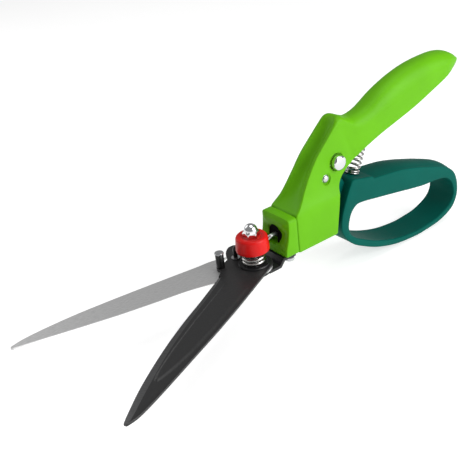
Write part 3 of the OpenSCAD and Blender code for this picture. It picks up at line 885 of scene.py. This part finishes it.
# ------------------------------------------------------------------ small pieces
def small_pieces():
    """The lock button, the handle's pivot pin, and the stop stud in its bush."""
    low, high = node_box("lock_button")
    x, z = (low + high)[[0, 2]] / 2
    r = (high[0] - low[0]) / 2
    y0, y1 = low[1], high[1]
    profile = [(0, y0), (r - 2.6, y0 + 0.04), (r - 1.2, y0 + 0.25), (r - 0.4, y0 + 0.7),
               (r, y0 + 1.3), (r, y0 + 5.3), (3, y0 + 5.3), (3, -3.2), (2, -3), (2, 3.8),
               (3, 4.0), (3, y1 - 0.4), (2.6, y1), (0, y1)]
    piece("push_button", lathe(profile, (x, 0, z), "y", 72), "lock", CHROME,
          ["lock_button"], sharp=40)
    low, high = node_box("handle_pivot_pin")
    x, z = (low + high)[[0, 2]] / 2
    y0, y1 = low[1], high[1]
    profile = [(0, y0), (1.2, y0 + 0.05), (2.0, y0 + 0.3), (2.5, y0 + 0.75), (2.6, y0 + 1.3),
               (3, y0 + 1.5), (3, y1 - 0.3), (2.6, y1), (0, y1)]
    piece("pivot_rivet", lathe(profile, (x, 0, z), "y", 48), "handle", ZINC,
          ["handle_pivot_pin"], sharp=40)
    low, high = node_box("stop_pin")
    c = (*((low + high)[:2] / 2), 0)
    r, z0, z1 = (high[0] - low[0]) / 2, low[2], high[2]
    piece("stop_stud", lathe([(0, z0), (1.3, z0), (1.5, z0 + 0.2), (1.5, z1 - 0.9),
                              (r, z1 - 0.9), (r, z1 - 0.35), (r - 0.3, z1), (1.5, z1),
                              (1.3, z1), (0, z1)], c, segments=40),
          "cutter", ZINC, ["stop_pin"], sharp=40)
    low, high = node_box("stop_sleeve")
    r, z0, z1 = (high[0] - low[0]) / 2, low[2], high[2]
    piece("stop_bush", lathe([(1.5, z0), (r - 0.2, z0), (r, z0 + 0.3), (r, z1 - 0.5),
                              (r - 0.3, z1), (1.5, z1), (1.5, z0)], c, segments=40),
          "cutter", RUBBER, ["stop_sleeve"], sharp=40)


def rod():
    """The pull rod: straight in the sleeve, bowed round the bolt, hooked into the blade."""
    low, high = node_box("pull_rod")
    clip_low, clip_high = node_box("rod_clip")
    x, y = (clip_low + clip_high)[:2] / 2
    drop = -5.4
    path = [(high[0], 0, 0), (-4, 0, 0), (-11, 0, 0), (-12.6, 0.2, -0.4), (-13.8, 0.8, -1.5),
            (-14.6, 1.8, -3), (-15.3, 3, -4.6), (-16.2, 4.6, drop), (-18.2, 7.4, drop),
            (-21.2, 10.3, drop), (-25, 12.6, drop), (x + 4, y - 0.3, drop),
            (x + 1.6, y, drop - 0.2), (x + 0.3, y, drop - 1.2), (x, y, drop - 2.8),
            (x, y, low[2])]
    steps = 6
    line = spline(path, steps)
    piece("bent_rod", tube(line, 1.4, 20), "rod", ZINC, ["pull_rod"], sharp=60)
    coat = line[7 * steps:]
    radii = np.full(len(coat), 1.5)
    radii[0] = 1.42
    piece("rod_coat", tube(coat, radii, 20), "rod", RUBBER, sharp=60)


# ------------------------------------------------------------------ carried-over nodes
def dress():
    """Materials for the machined CAD pieces that are shown as they are."""
    looks = {"blade_bracket": BLACK_STEEL, "tube_ring": BLACK_STEEL, "thrust_washer": ZINC,
             "detent_ball": CHROME, "detent_spring": SPRING_STEEL, "bracket_screws": ZINC,
             "bracket_rivet": ZINC, "rod_ball": ZINC, "rod_clip": ZINC}
    for node, look in looks.items():
        slots = frame["nodes"][node].data.materials
        slots.clear()
        slots.append(look)


# ------------------------------------------------------------------ stage
def camera():
    """The view: from the blades' near side, above, leaning a little."""
    eye_mm = np.array([-307.7, -398.7, 274.5])
    turn, rise, roll = (math.radians(v) for v in (-33.83, 28.615, 7.293))
    right = np.array([math.cos(turn), math.sin(turn), 0])
    up = np.array([-math.sin(turn) * math.sin(rise), math.cos(turn) * math.sin(rise),
                   math.cos(rise)])
    back = np.array([math.sin(turn) * math.cos(rise), -math.cos(turn) * math.cos(rise),
                     math.sin(rise)])
    c, s = math.cos(roll), math.sin(roll)
    across, above = c * right - s * up, s * right + c * up
    data = bpy.data.cameras.new("camera")
    data.sensor_width = 36
    data.lens = 65.106
    data.clip_start = 0.01
    view = bpy.data.objects.new("camera", data)
    rows = np.stack([across, above, back, metres(eye_mm)], 1)
    view.matrix_world = Matrix([*rows.tolist(), [0, 0, 0, 1]])
    bpy.context.scene.collection.objects.link(view)
    bpy.context.scene.camera = view


def lamp(name, place, size, power):
    """A soft round lamp that points at the middle of the shears."""
    data = bpy.data.lights.new(name, "AREA")
    data.shape = "DISK"
    data.size = size
    data.energy = power
    light = bpy.data.objects.new(name, data)
    light.location = place
    aim = Vector((0, 0, 0.04)) - Vector(place)
    light.rotation_euler = aim.to_track_quat("-Z", "Y").to_euler()
    bpy.context.scene.collection.objects.link(light)


def stage():
    """A pale floor, pale surroundings and three soft lamps."""
    world = bpy.data.worlds.new("studio")
    world.use_nodes = True
    background = world.node_tree.nodes["Background"]
    background.inputs["Color"].default_value = (1, 1, 1, 1)
    background.inputs["Strength"].default_value = 0.3
    bpy.context.scene.world = world
    bpy.context.scene.view_settings.view_transform = "Standard"
    mesh = bpy.data.meshes.new("floor")
    size = 6.0
    mesh.from_pydata([(-size, -size, 0), (size, -size, 0), (size, size, 0), (-size, size, 0)],
                     [], [(0, 1, 2, 3)])
    floor = bpy.data.objects.new("floor", mesh)
    bpy.context.scene.collection.objects.link(floor)
    look = Look("floor_white", (0.6, 0.6, 0.6), roughness=0.9)
    look.colour(look.ramp(look.noise(3, 2), [(0.3, 0.6), (0.7, 0.62)]))
    look.shader.inputs["Emission Color"].default_value = (1, 1, 1, 1)
    look.shader.inputs["Emission Strength"].default_value = 0.6
    mesh.materials.append(look.material)
    lamp("key", (0.5, -1.0, 0.5), 1.0, 15)
    lamp("top", (0.2, -0.1, 1.2), 0.9, 4.5)
    lamp("rim", (-0.3, 0.9, 0.6), 0.8, 2)


camera()
upper_handle()
lower_handle()
springs()
head()
pivot_stack()
blades()
small_pieces()
rod()
dress()
stage()
